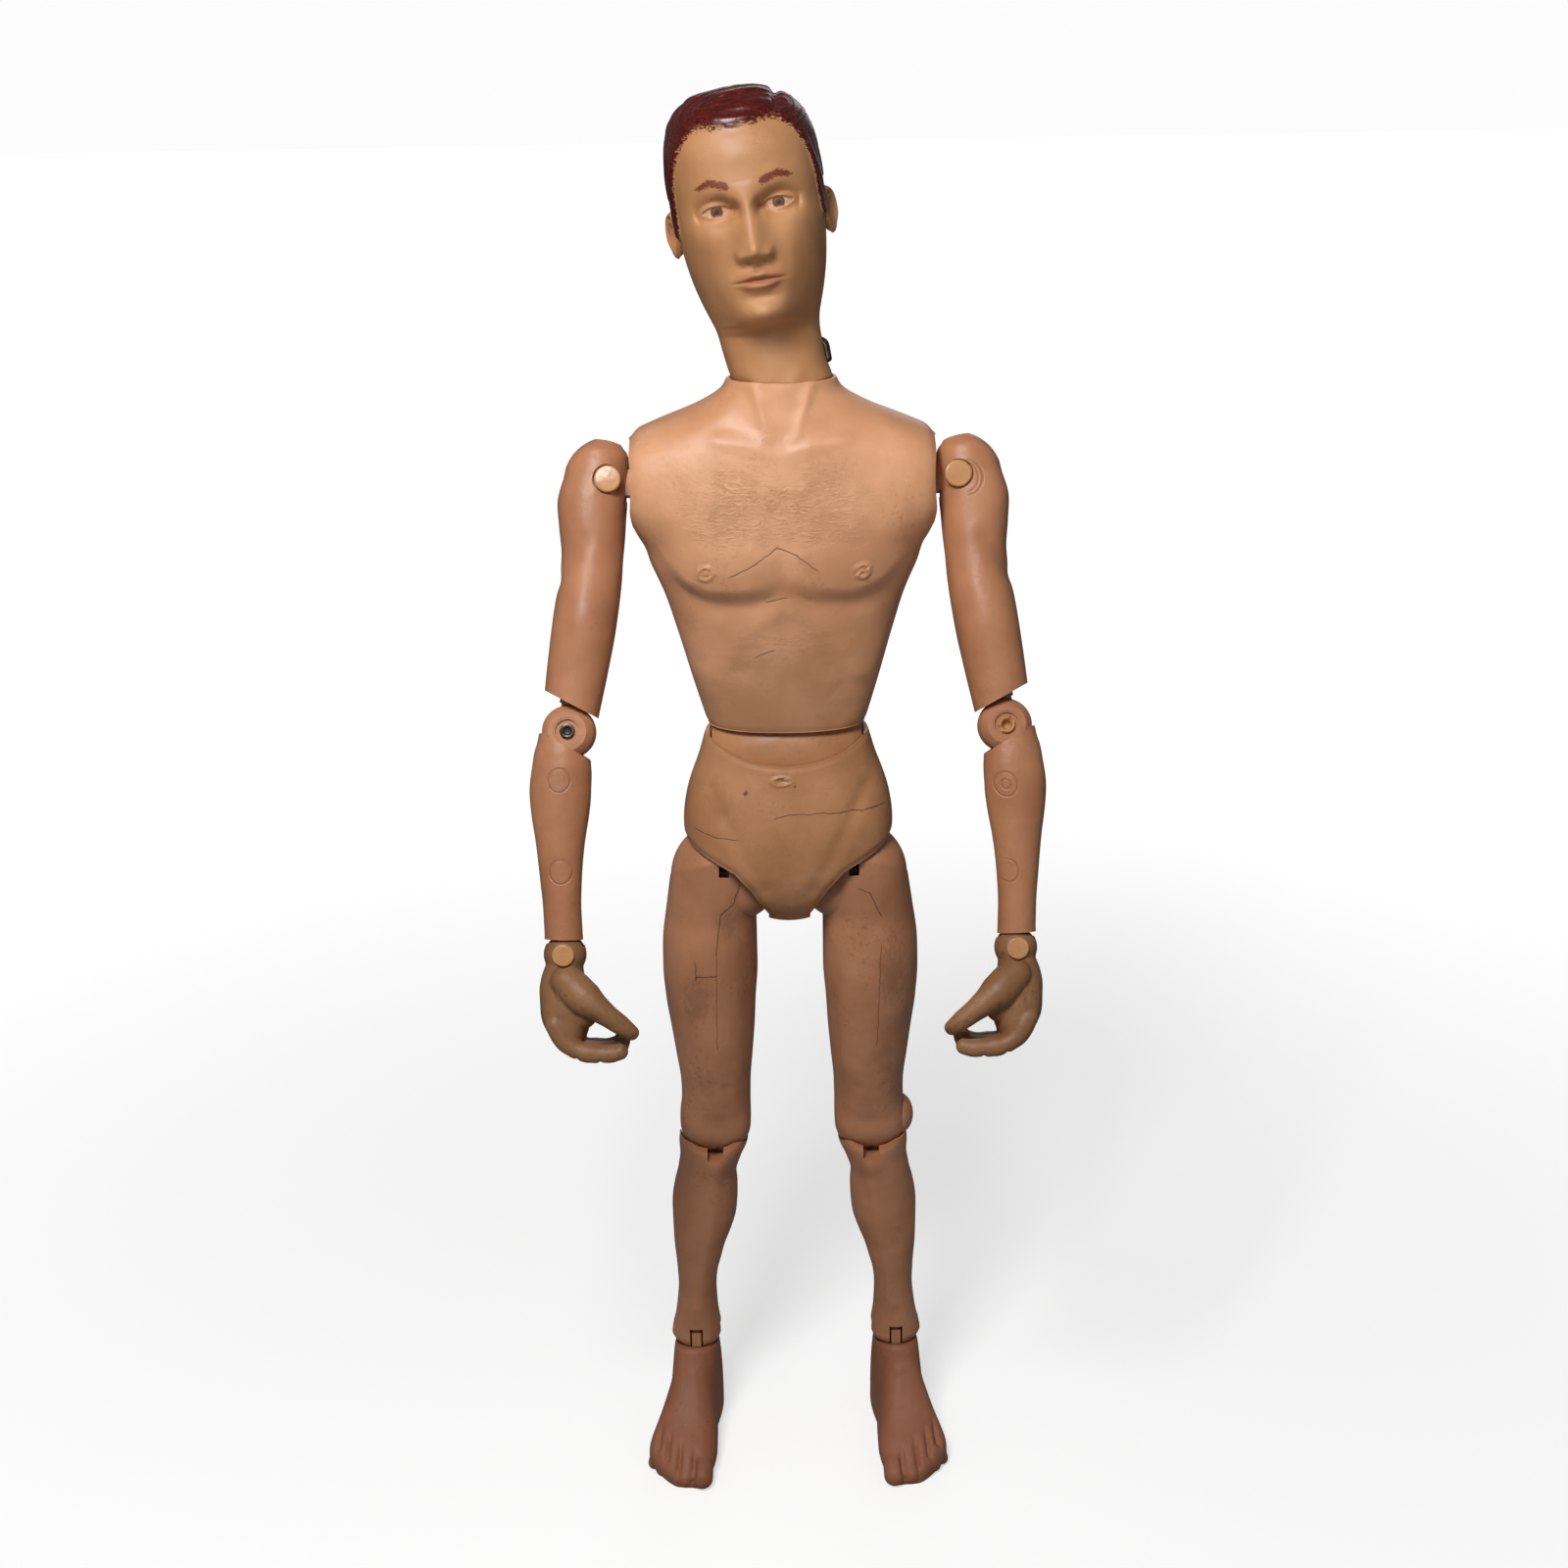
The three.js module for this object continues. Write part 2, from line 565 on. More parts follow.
function pelvisSolid() {
  const outside = limb(PELVIS_SECTIONS, 1, BODY_SIDES);
  const floor = HIP_TO_WAIST - WAIST_BELOW - WAIST_TILT_ROOM;
  const waistCup = waistForm(JOINT_GAP).translate([0, CORD_Y, HIP_TO_WAIST]);
  const cupAboveFloor = cut(waistCup, block([-FAR, -FAR, -FAR], [FAR, FAR, floor]));
  const rim = bar('y', PELVIS_RIM_RADIUS, -FAR, FAR, [0, PELVIS_RIM_FRONT + PELVIS_RIM_RADIUS], 32);
  const cavity = block(
    [-HIP_X - 5, HIP_Y - HIP_EYE_RADIUS - 0.6, HIP_EYE_HEIGHT - HIP_EYE_RADIUS - 0.9],
    [HIP_X + 5, HIP_Y + HIP_EYE_RADIUS + 0.6, HIP_EYE_HEIGHT + HIP_EYE_RADIUS + 0.5],
  );
  let body = cut(outside, cupAboveFloor, rim, cavity);
  [-1, 1].forEach((side) => {
    const slotEnds = [side * (HIP_X - 7.2), side * (HIP_X + 2.6)].sort((p, q) => p - q);
    const slotDepth = HIP_LINK_DEPTH + SLOT_GAP;
    const slot = block(
      [slotEnds[0], HIP_Y - slotDepth, HIP_DOME_RADIUS - 4],
      [slotEnds[1], HIP_Y + slotDepth, HIP_EYE_HEIGHT],
    );
    const legOpening = prism('y', [
      [side * 40, 9.8],
      [side * 23, 9.8],
      [side * 21.4, 9.5],
      [side * 16, 6.9],
      [side * 11.3, 4.45],
      [side * 7.9, 0.2],
      [side * 5, -5.3],
      [side * 4.4, -6.6],
      [side * 4.4, -20],
      [side * 40, -20],
    ], -FAR, FAR);
    body = cut(body, ball(HIP_CUP_RADIUS, [side * HIP_X, HIP_Y, 0]), slot, legOpening);
  });
  return body;
}

function waistBarrelSolid() {
  const top = WAIST_TO_CHEST - JOINT_GAP;
  const trimmed = cut(
    waistForm(0),
    block([-FAR, -FAR, top], [FAR, FAR, FAR]),
    block([-FAR, -FAR, -FAR], [FAR, FAR, -WAIST_BELOW]),
  );
  const spigot = bar('z', WAIST_SPIGOT_RADIUS, -WAIST_BELOW, top + WAIST_SPIGOT_HEIGHT, [0, 0], 20);
  return cut(join(trimmed, spigot), bar('z', STUD_RADIUS + PIN_GAP, -FAR, FAR));
}

function waistStudSolid() {
  const foot = -WAIST_BELOW - PIN_GAP;
  const flange = bar('z', STUD_FLANGE_RADIUS, foot - STUD_FLANGE_THICK, foot);
  const shank = bar('z', STUD_RADIUS, foot - STUD_FLANGE_THICK, STUD_HEIGHT);
  const socket = bar('z', CORD_RADIUS + PIN_GAP, STUD_HEIGHT - 3, STUD_HEIGHT + 1);
  return cut(join(flange, shank), socket);
}

function chestSolid() {
  const outside = limb(CHEST_SECTIONS, CHEST_HEIGHT, BODY_SIDES);
  const inner = CHEST_SECTIONS.map(([share, cx, cy, halfWidth, front, back, power]) => [
    Math.min(Math.max(share * CHEST_HEIGHT, CHEST_FLOOR), CHEST_CAVITY_HEIGHT),
    cx,
    cy,
    Math.min(halfWidth - CHEST_WALL, CHEST_CAVITY_HALF_WIDTH),
    front - CHEST_WALL,
    back - CHEST_WALL,
    power,
  ]);
  const first = inner.findIndex(([height]) => height < CHEST_CAVITY_HEIGHT) - 1;
  const levels = inner.slice(first).filter((level, i, list) => i % 2 === 0 || i === list.length - 1);
  const cavity = limb(levels, 1, 14);
  const breasts = [-1, 1].map((side) => {
    const geometry = new THREE.SphereGeometry(1, 12, 8);
    geometry.scale(...BREAST_SIZE);
    geometry.translate(side * BREAST_PLACE[0], BREAST_PLACE[1], BREAST_PLACE[2]);
    return solid(geometry);
  });
  const neckCup = ball(NECK_CUP_RADIUS, [0, CORD_Y, CHEST_HEIGHT + COLLAR_TO_NECK]);
  const hookBore = bar(
    'z',
    HOOK_COLLAR_RADIUS + 1,
    CHEST_CAVITY_HEIGHT - 2,
    CHEST_HEIGHT,
    [0, CORD_Y],
  );
  const waistBore = bar('z', WAIST_SPIGOT_RADIUS + JOINT_GAP, -1, CHEST_FLOOR + 1, [0, CORD_Y], 20);
  let body = cut(join(outside, ...breasts), cavity, neckCup, hookBore, waistBore);
  [-1, 1].forEach((side) => {
    const ends = [side * ARMHOLE_X, side * FAR].sort((p, q) => p - q);
    const shaftEnds = [side * (CHEST_CAVITY_HALF_WIDTH - 4), side * ARMHOLE_X].sort((p, q) => p - q);
    const seatEnds = [side * (CHEST_CAVITY_HALF_WIDTH - 6), side * (CHEST_CAVITY_HALF_WIDTH - 0.3)];
    seatEnds.sort((p, q) => p - q);
    body = cut(
      body,
      block([ends[0], -FAR, -FAR], [ends[1], FAR, CHEST_HEIGHT + FAR]),
      ball(SHOULDER_CUP_RADIUS, [side * SHOULDER_X, SHOULDER_Y, CHEST_TO_SHOULDER]),
      bar('x', HUB_SHAFT_RADIUS + PIN_GAP, ...shaftEnds, [SHOULDER_Y, CHEST_TO_SHOULDER]),
      bar('x', HUB_FLANGE_RADIUS + PIN_GAP, ...seatEnds, [SHOULDER_Y, CHEST_TO_SHOULDER]),
    );
  });
  return body;
}

// Head

function headSolid() {
  const dome = [-10.2, -8.4].map((height) => {
    const radius = Math.sqrt(NECK_DOME_RADIUS ** 2 - height ** 2);
    return [height, 0, 0, radius, radius, radius, 2];
  });
  const skull = limb([...dome, ...HEAD_SECTIONS], 1, HEAD_SIDES);
  const hair = limb(HEAD_SECTIONS.slice(5), 1, HEAD_SIDES, HAIR_THICK);
  const faceSide = prism('x', [
    [-40, HAIRLINE_FRONT],
    [-11, HAIRLINE_FRONT],
    [-6, 26],
    [3, 30],
    [8, HAIRLINE_NAPE],
    [40, HAIRLINE_NAPE],
    [40, -40],
    [-40, -40],
  ], -FAR, FAR);
  const nose = skin([
    [[-1.3, -15, 30], [1.3, -15, 30], [0.9, -16.9, 29.6], [-0.9, -16.9, 29.6]],
    [[-2.2, -15.5, 22], [2.2, -15.5, 22], [1.3, -20.4, 20.6], [-1.3, -20.4, 20.6]],
    [[-2.4, -15.5, 18.6], [2.4, -15.5, 18.6], [1.1, -19.6, 18.4], [-1.1, -19.6, 18.4]],
  ].map((ring) => ring.map((point) => new THREE.Vector3(...point))));
  const ears = [-1, 1].map((side) => {
    const geometry = new THREE.SphereGeometry(1, 8, 6);
    geometry.scale(1.7, 3, 4.8);
    geometry.rotateX(0.2);
    geometry.translate(side * 14.9, 1.6, 23.6);
    return solid(geometry);
  });
  const brow = finger([[-9.5, -14.4, 30.6], [0, -17, 31.6], [9.5, -14.4, 30.6]], [0.8, 1.2, 0.8], 6);
  const lips = finger([[-4.2, -16.3, 13.2], [0, -17.5, 13.2], [4.2, -16.3, 13.2]], [0.5, 1, 0.5], 6);
  const features = join(nose, ...ears, brow, lips).translate([HEAD_SIDEWAYS, 0, 0]);
  const body = join(skull, cut(hair, faceSide), features);
  const hookCone = turned('z', [[-14, 0], [-14, 7.6], [3.4, 2.2], [3.4, 0]], 16);
  const eyeRoom = bar('x', HOOK_EYE_RADIUS + 0.5, -2.2, 2.2);
  const pinHole = bar('x', NECK_PIN_RADIUS + PIN_GAP, -8.3, FAR, [0, 0], 12);
  const bentRoom = block(
    [NECK_PIN_BEND - NECK_PIN_RADIUS - PIN_GAP, -NECK_PIN_RADIUS - PIN_GAP, -7],
    [FAR, NECK_PIN_RADIUS + PIN_GAP, 0],
  );
  return cut(body, hookCone, eyeRoom, pinHole, bentRoom);
}

function neckPinSolid() {
  const wire = bar('x', NECK_PIN_RADIUS, -8, NECK_PIN_BEND + 0.25, [0, 0], 10);
  const bent = bar('z', NECK_PIN_RADIUS, -4.4, 0.8, [NECK_PIN_BEND, 0], 10);
  return join(wire, bent);
}

// Hangs from the neck pin; its collar takes the end of the upright cord.
function neckHookSolid() {
  const eye = cut(
    bar('x', HOOK_EYE_RADIUS, -1.3, 1.3),
    bar('x', NECK_PIN_RADIUS + PIN_GAP, -2, 2, [0, 0], 12),
  );
  const collarTop = CHEST_CAVITY_HEIGHT - CHEST_HEIGHT - COLLAR_TO_NECK + 1.5;
  const collarEnd = collarTop - HOOK_COLLAR_LENGTH;
  const stem = bar('z', HOOK_RADIUS, collarTop - 1, -HOOK_EYE_RADIUS + 0.5, [0, 0], 12);
  const collar = bar('z', HOOK_COLLAR_RADIUS, collarEnd, collarTop);
  const socket = bar('z', CORD_RADIUS + PIN_GAP, collarEnd - 1, collarEnd + 3);
  return [cut(join(collar, stem, eye), socket), collarEnd + 3];
}

// Arm, for the figure's left side

function shoulderHubSolid() {
  const wallEnd = CHEST_CAVITY_HALF_WIDTH - SHOULDER_X - 0.6;
  const cupEnd = -SHOULDER_CUP_RADIUS + 0.3;
  const flangeEnd = wallEnd - HUB_FLANGE_THICK;
  const eyeEnd = flangeEnd - HUB_EYE_LENGTH;
  const body = join(
    bar('y', HUB_TONGUE_RADIUS, -HUB_BLADE_HALF, HUB_BLADE_HALF),
    block(
      [cupEnd - 1, -HUB_BLADE_HALF, -HUB_BLADE_HEIGHT],
      [0, HUB_BLADE_HALF, HUB_BLADE_HEIGHT],
    ),
    bar('x', HUB_SHAFT_RADIUS, wallEnd - 0.5, cupEnd),
    bar('x', HUB_FLANGE_RADIUS, flangeEnd, wallEnd),
    bar('x', HUB_EYE_RADIUS, eyeEnd, flangeEnd + 0.5),
  );
  const pinHole = bar('y', PIN_RADIUS + PIN_GAP, -FAR, FAR);
  const socket = bar('x', CROSS_CORD_RADIUS + PIN_GAP, eyeEnd - 1, eyeEnd + 2.5);
  return [cut(body, pinHole, socket), eyeEnd + 2.5];
}

function upperArmSolid() {
  const outside = limb(UPPER_ARM_SECTIONS, -UPPER_ARM_LENGTH, LIMB_SIDES);
  const slotHalf = HUB_BLADE_HALF + SLOT_GAP;
  const reach = HUB_BLADE_HEIGHT + SLOT_GAP + 0.3;
  const slot = join(
    bar('y', HUB_TONGUE_RADIUS + SLOT_GAP, -slotHalf, slotHalf),
    prism('y', [
      [0.6, -reach],
      [reach, 0],
      [reach + 1.2, 20],
      [-20, 20],
      [-20, -reach + 0.9],
    ], -slotHalf, slotHalf),
  );
  const capSeat = bar('y', CAP_RADIUS + PIN_GAP, -FAR, -6.8 + CAP_THICK);
  const pinHole = bar('y', PIN_RADIUS + PIN_GAP, -FAR, FAR);
  const endAt = -UPPER_ARM_LENGTH + ARM_CUT_ABOVE_ELBOW;
  const below = prism('y', [
    [-30, endAt - 30 * ARM_CUT_SLOPE],
    [30, endAt + 30 * ARM_CUT_SLOPE],
    [30, endAt - 40],
    [-30, endAt - 40],
  ], -FAR, FAR);
  const stemBore = bar(
    'z',
    KNUCKLE_STEM_RADIUS + PIN_GAP,
    endAt - 5,
    endAt + KNUCKLE_STEM_LENGTH + PIN_GAP,
  );
  const elbowCup = ball(ELBOW_BALL_RADIUS + JOINT_GAP, [0, 0, -UPPER_ARM_LENGTH]);
  return cut(outside, slot, capSeat, pinHole, below, stemBore, elbowCup);
}

function shoulderPinSolid() {
  const shank = bar('y', PIN_RADIUS, -6.8, 6.4);
  const cap = bar('y', CAP_RADIUS, -6.8 - 0.4, -6.8 + CAP_THICK - 0.2);
  return join(shank, cap);
}

function elbowKnuckleSolid() {
  const stemFrom = ELBOW_EAR_RADIUS + SLOT_GAP;
  const body = join(
    bar('y', KNUCKLE_RADIUS, -KNUCKLE_HALF, KNUCKLE_HALF, [0, 0], 20),
    block([-2.3, -KNUCKLE_HALF, 0], [2.3, KNUCKLE_HALF, stemFrom + 1]),
    bar('z', KNUCKLE_STEM_RADIUS, stemFrom, ARM_CUT_ABOVE_ELBOW + KNUCKLE_STEM_LENGTH),
  );
  return cut(body, bar('y', RIVET_RADIUS + PIN_GAP, -FAR, FAR));
}

function elbowPinSolid() {
  const face = -ELBOW_EAR_DEPTH + 0.6;
  return join(
    bar('y', RIVET_RADIUS, face - 0.2, ELBOW_EAR_DEPTH - 0.2),
    bar('y', RIVET_HEAD_RADIUS, face - 0.5, face),
  );
}

function forearmSolid() {
  const outside = limb(FOREARM_SECTIONS, -FOREARM_LENGTH, LIMB_SIDES);
  const earFace = Math.sqrt(ELBOW_BALL_RADIUS ** 2 - ELBOW_EAR_DEPTH ** 2);
  const earEdge = Math.sqrt(ELBOW_BALL_RADIUS ** 2 - ELBOW_EAR_RADIUS ** 2);
  const ears = turned('y', [
    [-ELBOW_EAR_DEPTH, 0],
    [-ELBOW_EAR_DEPTH, earFace],
    [-earEdge, ELBOW_EAR_RADIUS],
    [earEdge, ELBOW_EAR_RADIUS],
    [ELBOW_EAR_DEPTH, earFace],
    [ELBOW_EAR_DEPTH, 0],
  ], 20);
  const innerRoom = prism('y', [
    [-20, 20],
    [2.6, 20],
    [2.6, 0],
    [0, -3],
    [-5.2, -6],
    [-20, -14],
  ], -FAR, FAR);
  const slotHalf = KNUCKLE_HALF + SLOT_GAP;
  const slot = join(
    bar('y', KNUCKLE_RADIUS + SLOT_GAP, -slotHalf, slotHalf, [0, 0], 20),
    block([-20, -slotHalf, -2.8], [0, slotHalf, 20]),
  );
  const rivetHole = bar('y', RIVET_RADIUS + PIN_GAP, -FAR, FAR, [0, 0], 16);
  const recess = bar('y', RIVET_RECESS_RADIUS, -FAR, -ELBOW_EAR_DEPTH + 0.6);
  const endAt = -FOREARM_LENGTH + FOREARM_END_ABOVE_WRIST;
  const stemTop = -FOREARM_LENGTH + WRIST_BALL_RADIUS + JOINT_GAP + POST_STEM_LENGTH;
  const body = join(cut(outside, innerRoom), ears);
  return cut(
    body,
    slot,
    rivetHole,
    recess,
    block([-FAR, -FAR, endAt - FAR], [FAR, FAR, endAt]),
    ball(WRIST_BALL_RADIUS + JOINT_GAP, [0, 0, -FOREARM_LENGTH]),
    bar('z', POST_STEM_RADIUS + PIN_GAP, -FOREARM_LENGTH, stemTop + PIN_GAP),
  );
}

function wristPostSolid() {
  const stemFrom = WRIST_BALL_RADIUS + 0.1;
  const stemTo = WRIST_BALL_RADIUS + JOINT_GAP + POST_STEM_LENGTH;
  const body = join(
    bar('y', POST_RADIUS, -POST_HALF, POST_HALF),
    block([-1.6, -POST_HALF, 0], [1.6, POST_HALF, stemFrom + 0.5]),
    bar('z', POST_STEM_RADIUS, stemFrom, stemTo, [0, 0], 16),
  );
  return cut(body, bar('y', WRIST_PIN_RADIUS + PIN_GAP, -FAR, FAR, [0, 0], 12));
}

function wristPinSolid() {
  const face = -WRIST_BALL_RADIUS + 0.7;
  return join(
    bar('y', WRIST_PIN_RADIUS, face - 0.4, WRIST_BALL_RADIUS - 0.3, [0, 0], 12),
    bar('y', WRIST_CAP_RADIUS, face - 0.8, face - 0.1),
  );
}

function handSolid() {
  const palm = limb([
    [-1.5, 0, 0, 3.6, 3.6, 3.6, 2],
    [-4.5, 0.3, 0, 4.3, 5.2, 4.8, 2.2],
    [-8, -0.1, 0, 5, 6.4, 6, 2.4],
    [-11.5, -0.4, 0, 5, 6.8, 6.4, 2.5],
    [-14.5, -0.7, 0, 4.4, 6.8, 6.4, 2.5],
    [-17.3, -1.4, 0, 2.8, 6.5, 6.2, 2.5],
  ], 1, 12);
  const fingers = FINGERS.map(([across, radius, curl]) => finger([
    [1.2, across, -13.5],
    [-1.6, across, -18.3],
    [-6.4, across, -20.2],
    [-10.8 - 0.7 * curl, across, -19.2],
    [-12.7 - 0.6 * curl, across, -17.2 + 1.5 * curl],
    [-13 + 0.2 * curl, across, -16.6 + 3.2 * curl],
  ], [radius + 0.25, radius + 0.15, radius + 0.1, radius, radius - 0.15, radius - 0.35]));
  const thumb = finger([
    [-0.8, -4.2, -5],
    [-4.8, -6, -8.4],
    [-8.8, -6.8, -11.2],
    [-12.2, -6.3, -13.8],
    [-14.1, -5.5, -15.3],
  ], [3.4, 3.4, 2.6, 2.05, 1.6]);
  const body = join(ball(WRIST_BALL_RADIUS), palm, ...fingers, thumb);
  const slotHalf = POST_HALF + SLOT_GAP;
  const slot = join(
    bar('y', POST_RADIUS + SLOT_GAP, -slotHalf, slotHalf),
    prism('y', [[-2, -2.4], [2, -2.4], [6, 8], [-6, 8]], -slotHalf, slotHalf),
  );
  return cut(
    body,
    slot,
    bar('y', WRIST_PIN_RADIUS + PIN_GAP, -FAR, FAR, [0, 0], 12),
    bar('y', WRIST_CAP_RADIUS + PIN_GAP, -WRIST_BALL_RADIUS - 6, -WRIST_BALL_RADIUS + 0.7),
  );
}

// Leg, for the figure's left side

function hipLinkSolid() {
  const body = join(
    bar('x', HIP_LINK_RADIUS, -HIP_LINK_HALF, HIP_LINK_HALF),
    block(
      [-HIP_LINK_HALF, -HIP_LINK_DEPTH, 0],
      [HIP_LINK_HALF, HIP_LINK_DEPTH, HIP_EYE_HEIGHT],
    ),
    bar('x', HIP_EYE_RADIUS, -HIP_LINK_HALF, HIP_LINK_HALF, [0, HIP_EYE_HEIGHT]),
  );
  return cut(
    body,
    bar('x', HIP_PIN_RADIUS + PIN_GAP, -FAR, FAR, [0, 0], 16),
    bar('x', HIP_EYE_BORE, -FAR, FAR, [0, HIP_EYE_HEIGHT], 16),
  );
}

// Radius of the thigh's round end at a place across the knee.
function kneeRadius(across) {
  return KNEE_RADIUS * Math.sqrt(Math.max(1 - (across / KNEE_HALF_WIDTH) ** 2, 0));
}

// Draws a point below the knee pin in to the round end that turns in the shin.
function withinKnee(point, knee) {
  const below = knee[2] - point.z;
  if (below <= 0) {
    return point;
  }
  const widest = 0.97 * KNEE_HALF_WIDTH * Math.sqrt(Math.max(1 - (below / KNEE_RADIUS) ** 2, 0.01));
  const across = THREE.MathUtils.clamp(point.x - knee[0], -widest, widest);
  const reach = Math.sqrt(Math.max(kneeRadius(across) ** 2 - below ** 2, 0.01));
  const depth = THREE.MathUtils.clamp(point.y - knee[1], -reach, reach);
  return point.set(knee[0] + across, knee[1] + depth, point.z);
}

function kneeBarrel(grow) {
  const profile = [-0.985, -0.9, -0.75, -0.5, -0.25, 0, 0.25, 0.5, 0.75, 0.9, 0.985].map((share) => [
    share * (KNEE_HALF_WIDTH + grow),
    kneeRadius(share * KNEE_HALF_WIDTH) + grow,
  ]);
  const half = KNEE_HALF_WIDTH + grow;
  return turned('x', [[-half, 0], ...profile, [half, 0]], 18);
}

function thighSolid() {
  const knee = [KNEE_OUT, KNEE_BACK, -THIGH_LENGTH];
  const body = limb(THIGH_SECTIONS, -THIGH_LENGTH, LIMB_SIDES + 2, 0, (point) => {
    if (point.z > 0) {
      return withinBall(point, HIP_DOME_RADIUS, [0, 0, 0]);
    }
    return withinKnee(point, knee);
  });
  const groin = ball(8.6, [-2.6, 0, -1.2]);
  const hipSlotHalf = HIP_LINK_HALF + SLOT_GAP;
  const hipSlot = join(
    bar('x', HIP_LINK_RADIUS + SLOT_GAP, -hipSlotHalf, hipSlotHalf),
    prism('x', [[2.4, -1.6], [7, 16], [-20, 16], [-20, 8.8], [-1.6, -1.8]], -hipSlotHalf, hipSlotHalf),
  );
  const kneeSlotHalf = KNEE_LINK_HALF + SLOT_GAP;
  const linkSide = KNEE_LINK_DEPTH + SLOT_GAP;
  const kneeSlot = join(
    bar('x', KNEE_LINK_RADIUS + SLOT_GAP, -kneeSlotHalf, kneeSlotHalf),
    prism('x', [
      [-linkSide, -20],
      [-linkSide, 0],
      [0, linkSide + 0.5],
      [20, linkSide + 0.5],
      [20, -20],
    ], -kneeSlotHalf, kneeSlotHalf),
  ).translate(knee);
  const kneeHole = bar('x', PIN_RADIUS + PIN_GAP, -6.6, FAR, [0, 0]).translate(knee);
  const hipHole = bar('x', HIP_PIN_RADIUS + PIN_GAP, -5.8, 8.3, [0, 0], 16);
  return cut(join(body, groin), hipSlot, hipHole, kneeSlot, kneeHole);
}

function kneePinSolid(withHead) {
  const shank = bar('x', PIN_RADIUS, -6.3, withHead ? KNEE_BOSS_FROM + 0.3 : 7.8);
  const middle = (KNEE_BOSS_FROM + KNEE_BOSS_TO) / 2;
  const dome = turned('x', [
    [KNEE_BOSS_FROM, 0],
    [KNEE_BOSS_FROM, 0.92 * KNEE_BOSS_RADIUS],
    [KNEE_BOSS_FROM + 0.3, KNEE_BOSS_RADIUS],
    [middle, 0.9 * KNEE_BOSS_RADIUS],
    [KNEE_BOSS_TO - 0.25, 0.6 * KNEE_BOSS_RADIUS],
    [KNEE_BOSS_TO, 0.25 * KNEE_BOSS_RADIUS],
    [KNEE_BOSS_TO, 0],
  ], 16);
  return withHead ? join(shank, dome) : shank;
}

function kneeLinkSolid() {
  const body = join(
    bar('x', KNEE_LINK_RADIUS, -KNEE_LINK_HALF, KNEE_LINK_HALF),
    block(
      [-KNEE_LINK_HALF, -KNEE_LINK_DEPTH, -KNEE_LINK_LENGTH],
      [KNEE_LINK_HALF, KNEE_LINK_DEPTH, 0],
    ),
  );
  return cut(body, bar('x', PIN_RADIUS + PIN_GAP, -FAR, FAR));
}

function shinSolid() {
  const ankle = [ANKLE_OUT, ANKLE_BACK, -SHIN_LENGTH];
  const outside = limb(SHIN_SECTIONS, -SHIN_LENGTH, LIMB_SIDES, 0, (point) => (
    point.z < -SHIN_LENGTH ? withinBall(point, ANKLE_BALL_RADIUS, ankle) : point
  ));
  const rim = bar('y', KNEE_RIM_CURVE, -FAR, FAR, [KNEE_RIM_OUT, KNEE_RIM_CURVE - KNEE_RIM_DROP], 24);
  const above = block([-FAR, -FAR, -JOINT_GAP], [FAR, FAR, FAR]);
  const behind = prism('x', [[0, 0], [0.6, -6.5], [11.5, -16.4], [30, -16.4], [30, 20], [0, 20]], -FAR, FAR);
  const slotHalf = KNEE_LINK_HALF + SLOT_GAP;
  const linkSide = KNEE_LINK_DEPTH + SLOT_GAP;
  const pocket = block(
    [-slotHalf, -linkSide, -KNEE_LINK_LENGTH - SLOT_GAP],
    [slotHalf, linkSide, 5],
  );
  const notch = block(
    [-slotHalf, -FAR, -KNEE_RIM_DROP - KNEE_NOTCH_HEIGHT],
    [slotHalf, 0, 5],
  );
  const ankleSlotHalf = ANKLE_LINK_HALF + SLOT_GAP;
  const ankleSlot = join(
    bar('x', ANKLE_LINK_RADIUS + SLOT_GAP, -ankleSlotHalf, ankleSlotHalf),
    prism('x', [[-12, 0.8], [-4, 0.8], [5, 0], [9, -14], [-12, -14]], -ankleSlotHalf, ankleSlotHalf),
  ).translate(ankle);
  const ankleHole = bar('x', ANKLE_PIN_RADIUS + PIN_GAP, -FAR, FAR, [0, 0], 16).translate(ankle);
  return cut(
    outside,
    rim,
    above,
    behind,
    kneeBarrel(JOINT_GAP),
    pocket,
    notch,
    ankleSlot,
    ankleHole,
  );
}

function ankleLinkSolid() {
  const stemFrom = -ANKLE_BALL_RADIUS - 0.2;
  const body = join(
    bar('x', ANKLE_LINK_RADIUS, -ANKLE_LINK_HALF, ANKLE_LINK_HALF, [0, 0], 20),
    block(
      [-ANKLE_LINK_HALF, -ANKLE_LUG_FRONT, -ANKLE_BALL_RADIUS + 2.9],
      [ANKLE_LINK_HALF, 0, ANKLE_LUG_TOP],
    ),
    block([-ANKLE_LINK_HALF, -1.9, stemFrom - 1], [ANKLE_LINK_HALF, 1.9, 0]),
    bar('z', ANKLE_STEM_RADIUS, stemFrom - ANKLE_STEM_LENGTH, stemFrom, [0, 0], 16),
  );
  return cut(body, bar('x', ANKLE_PIN_RADIUS + PIN_GAP, -FAR, FAR, [0, 0], 16));
}

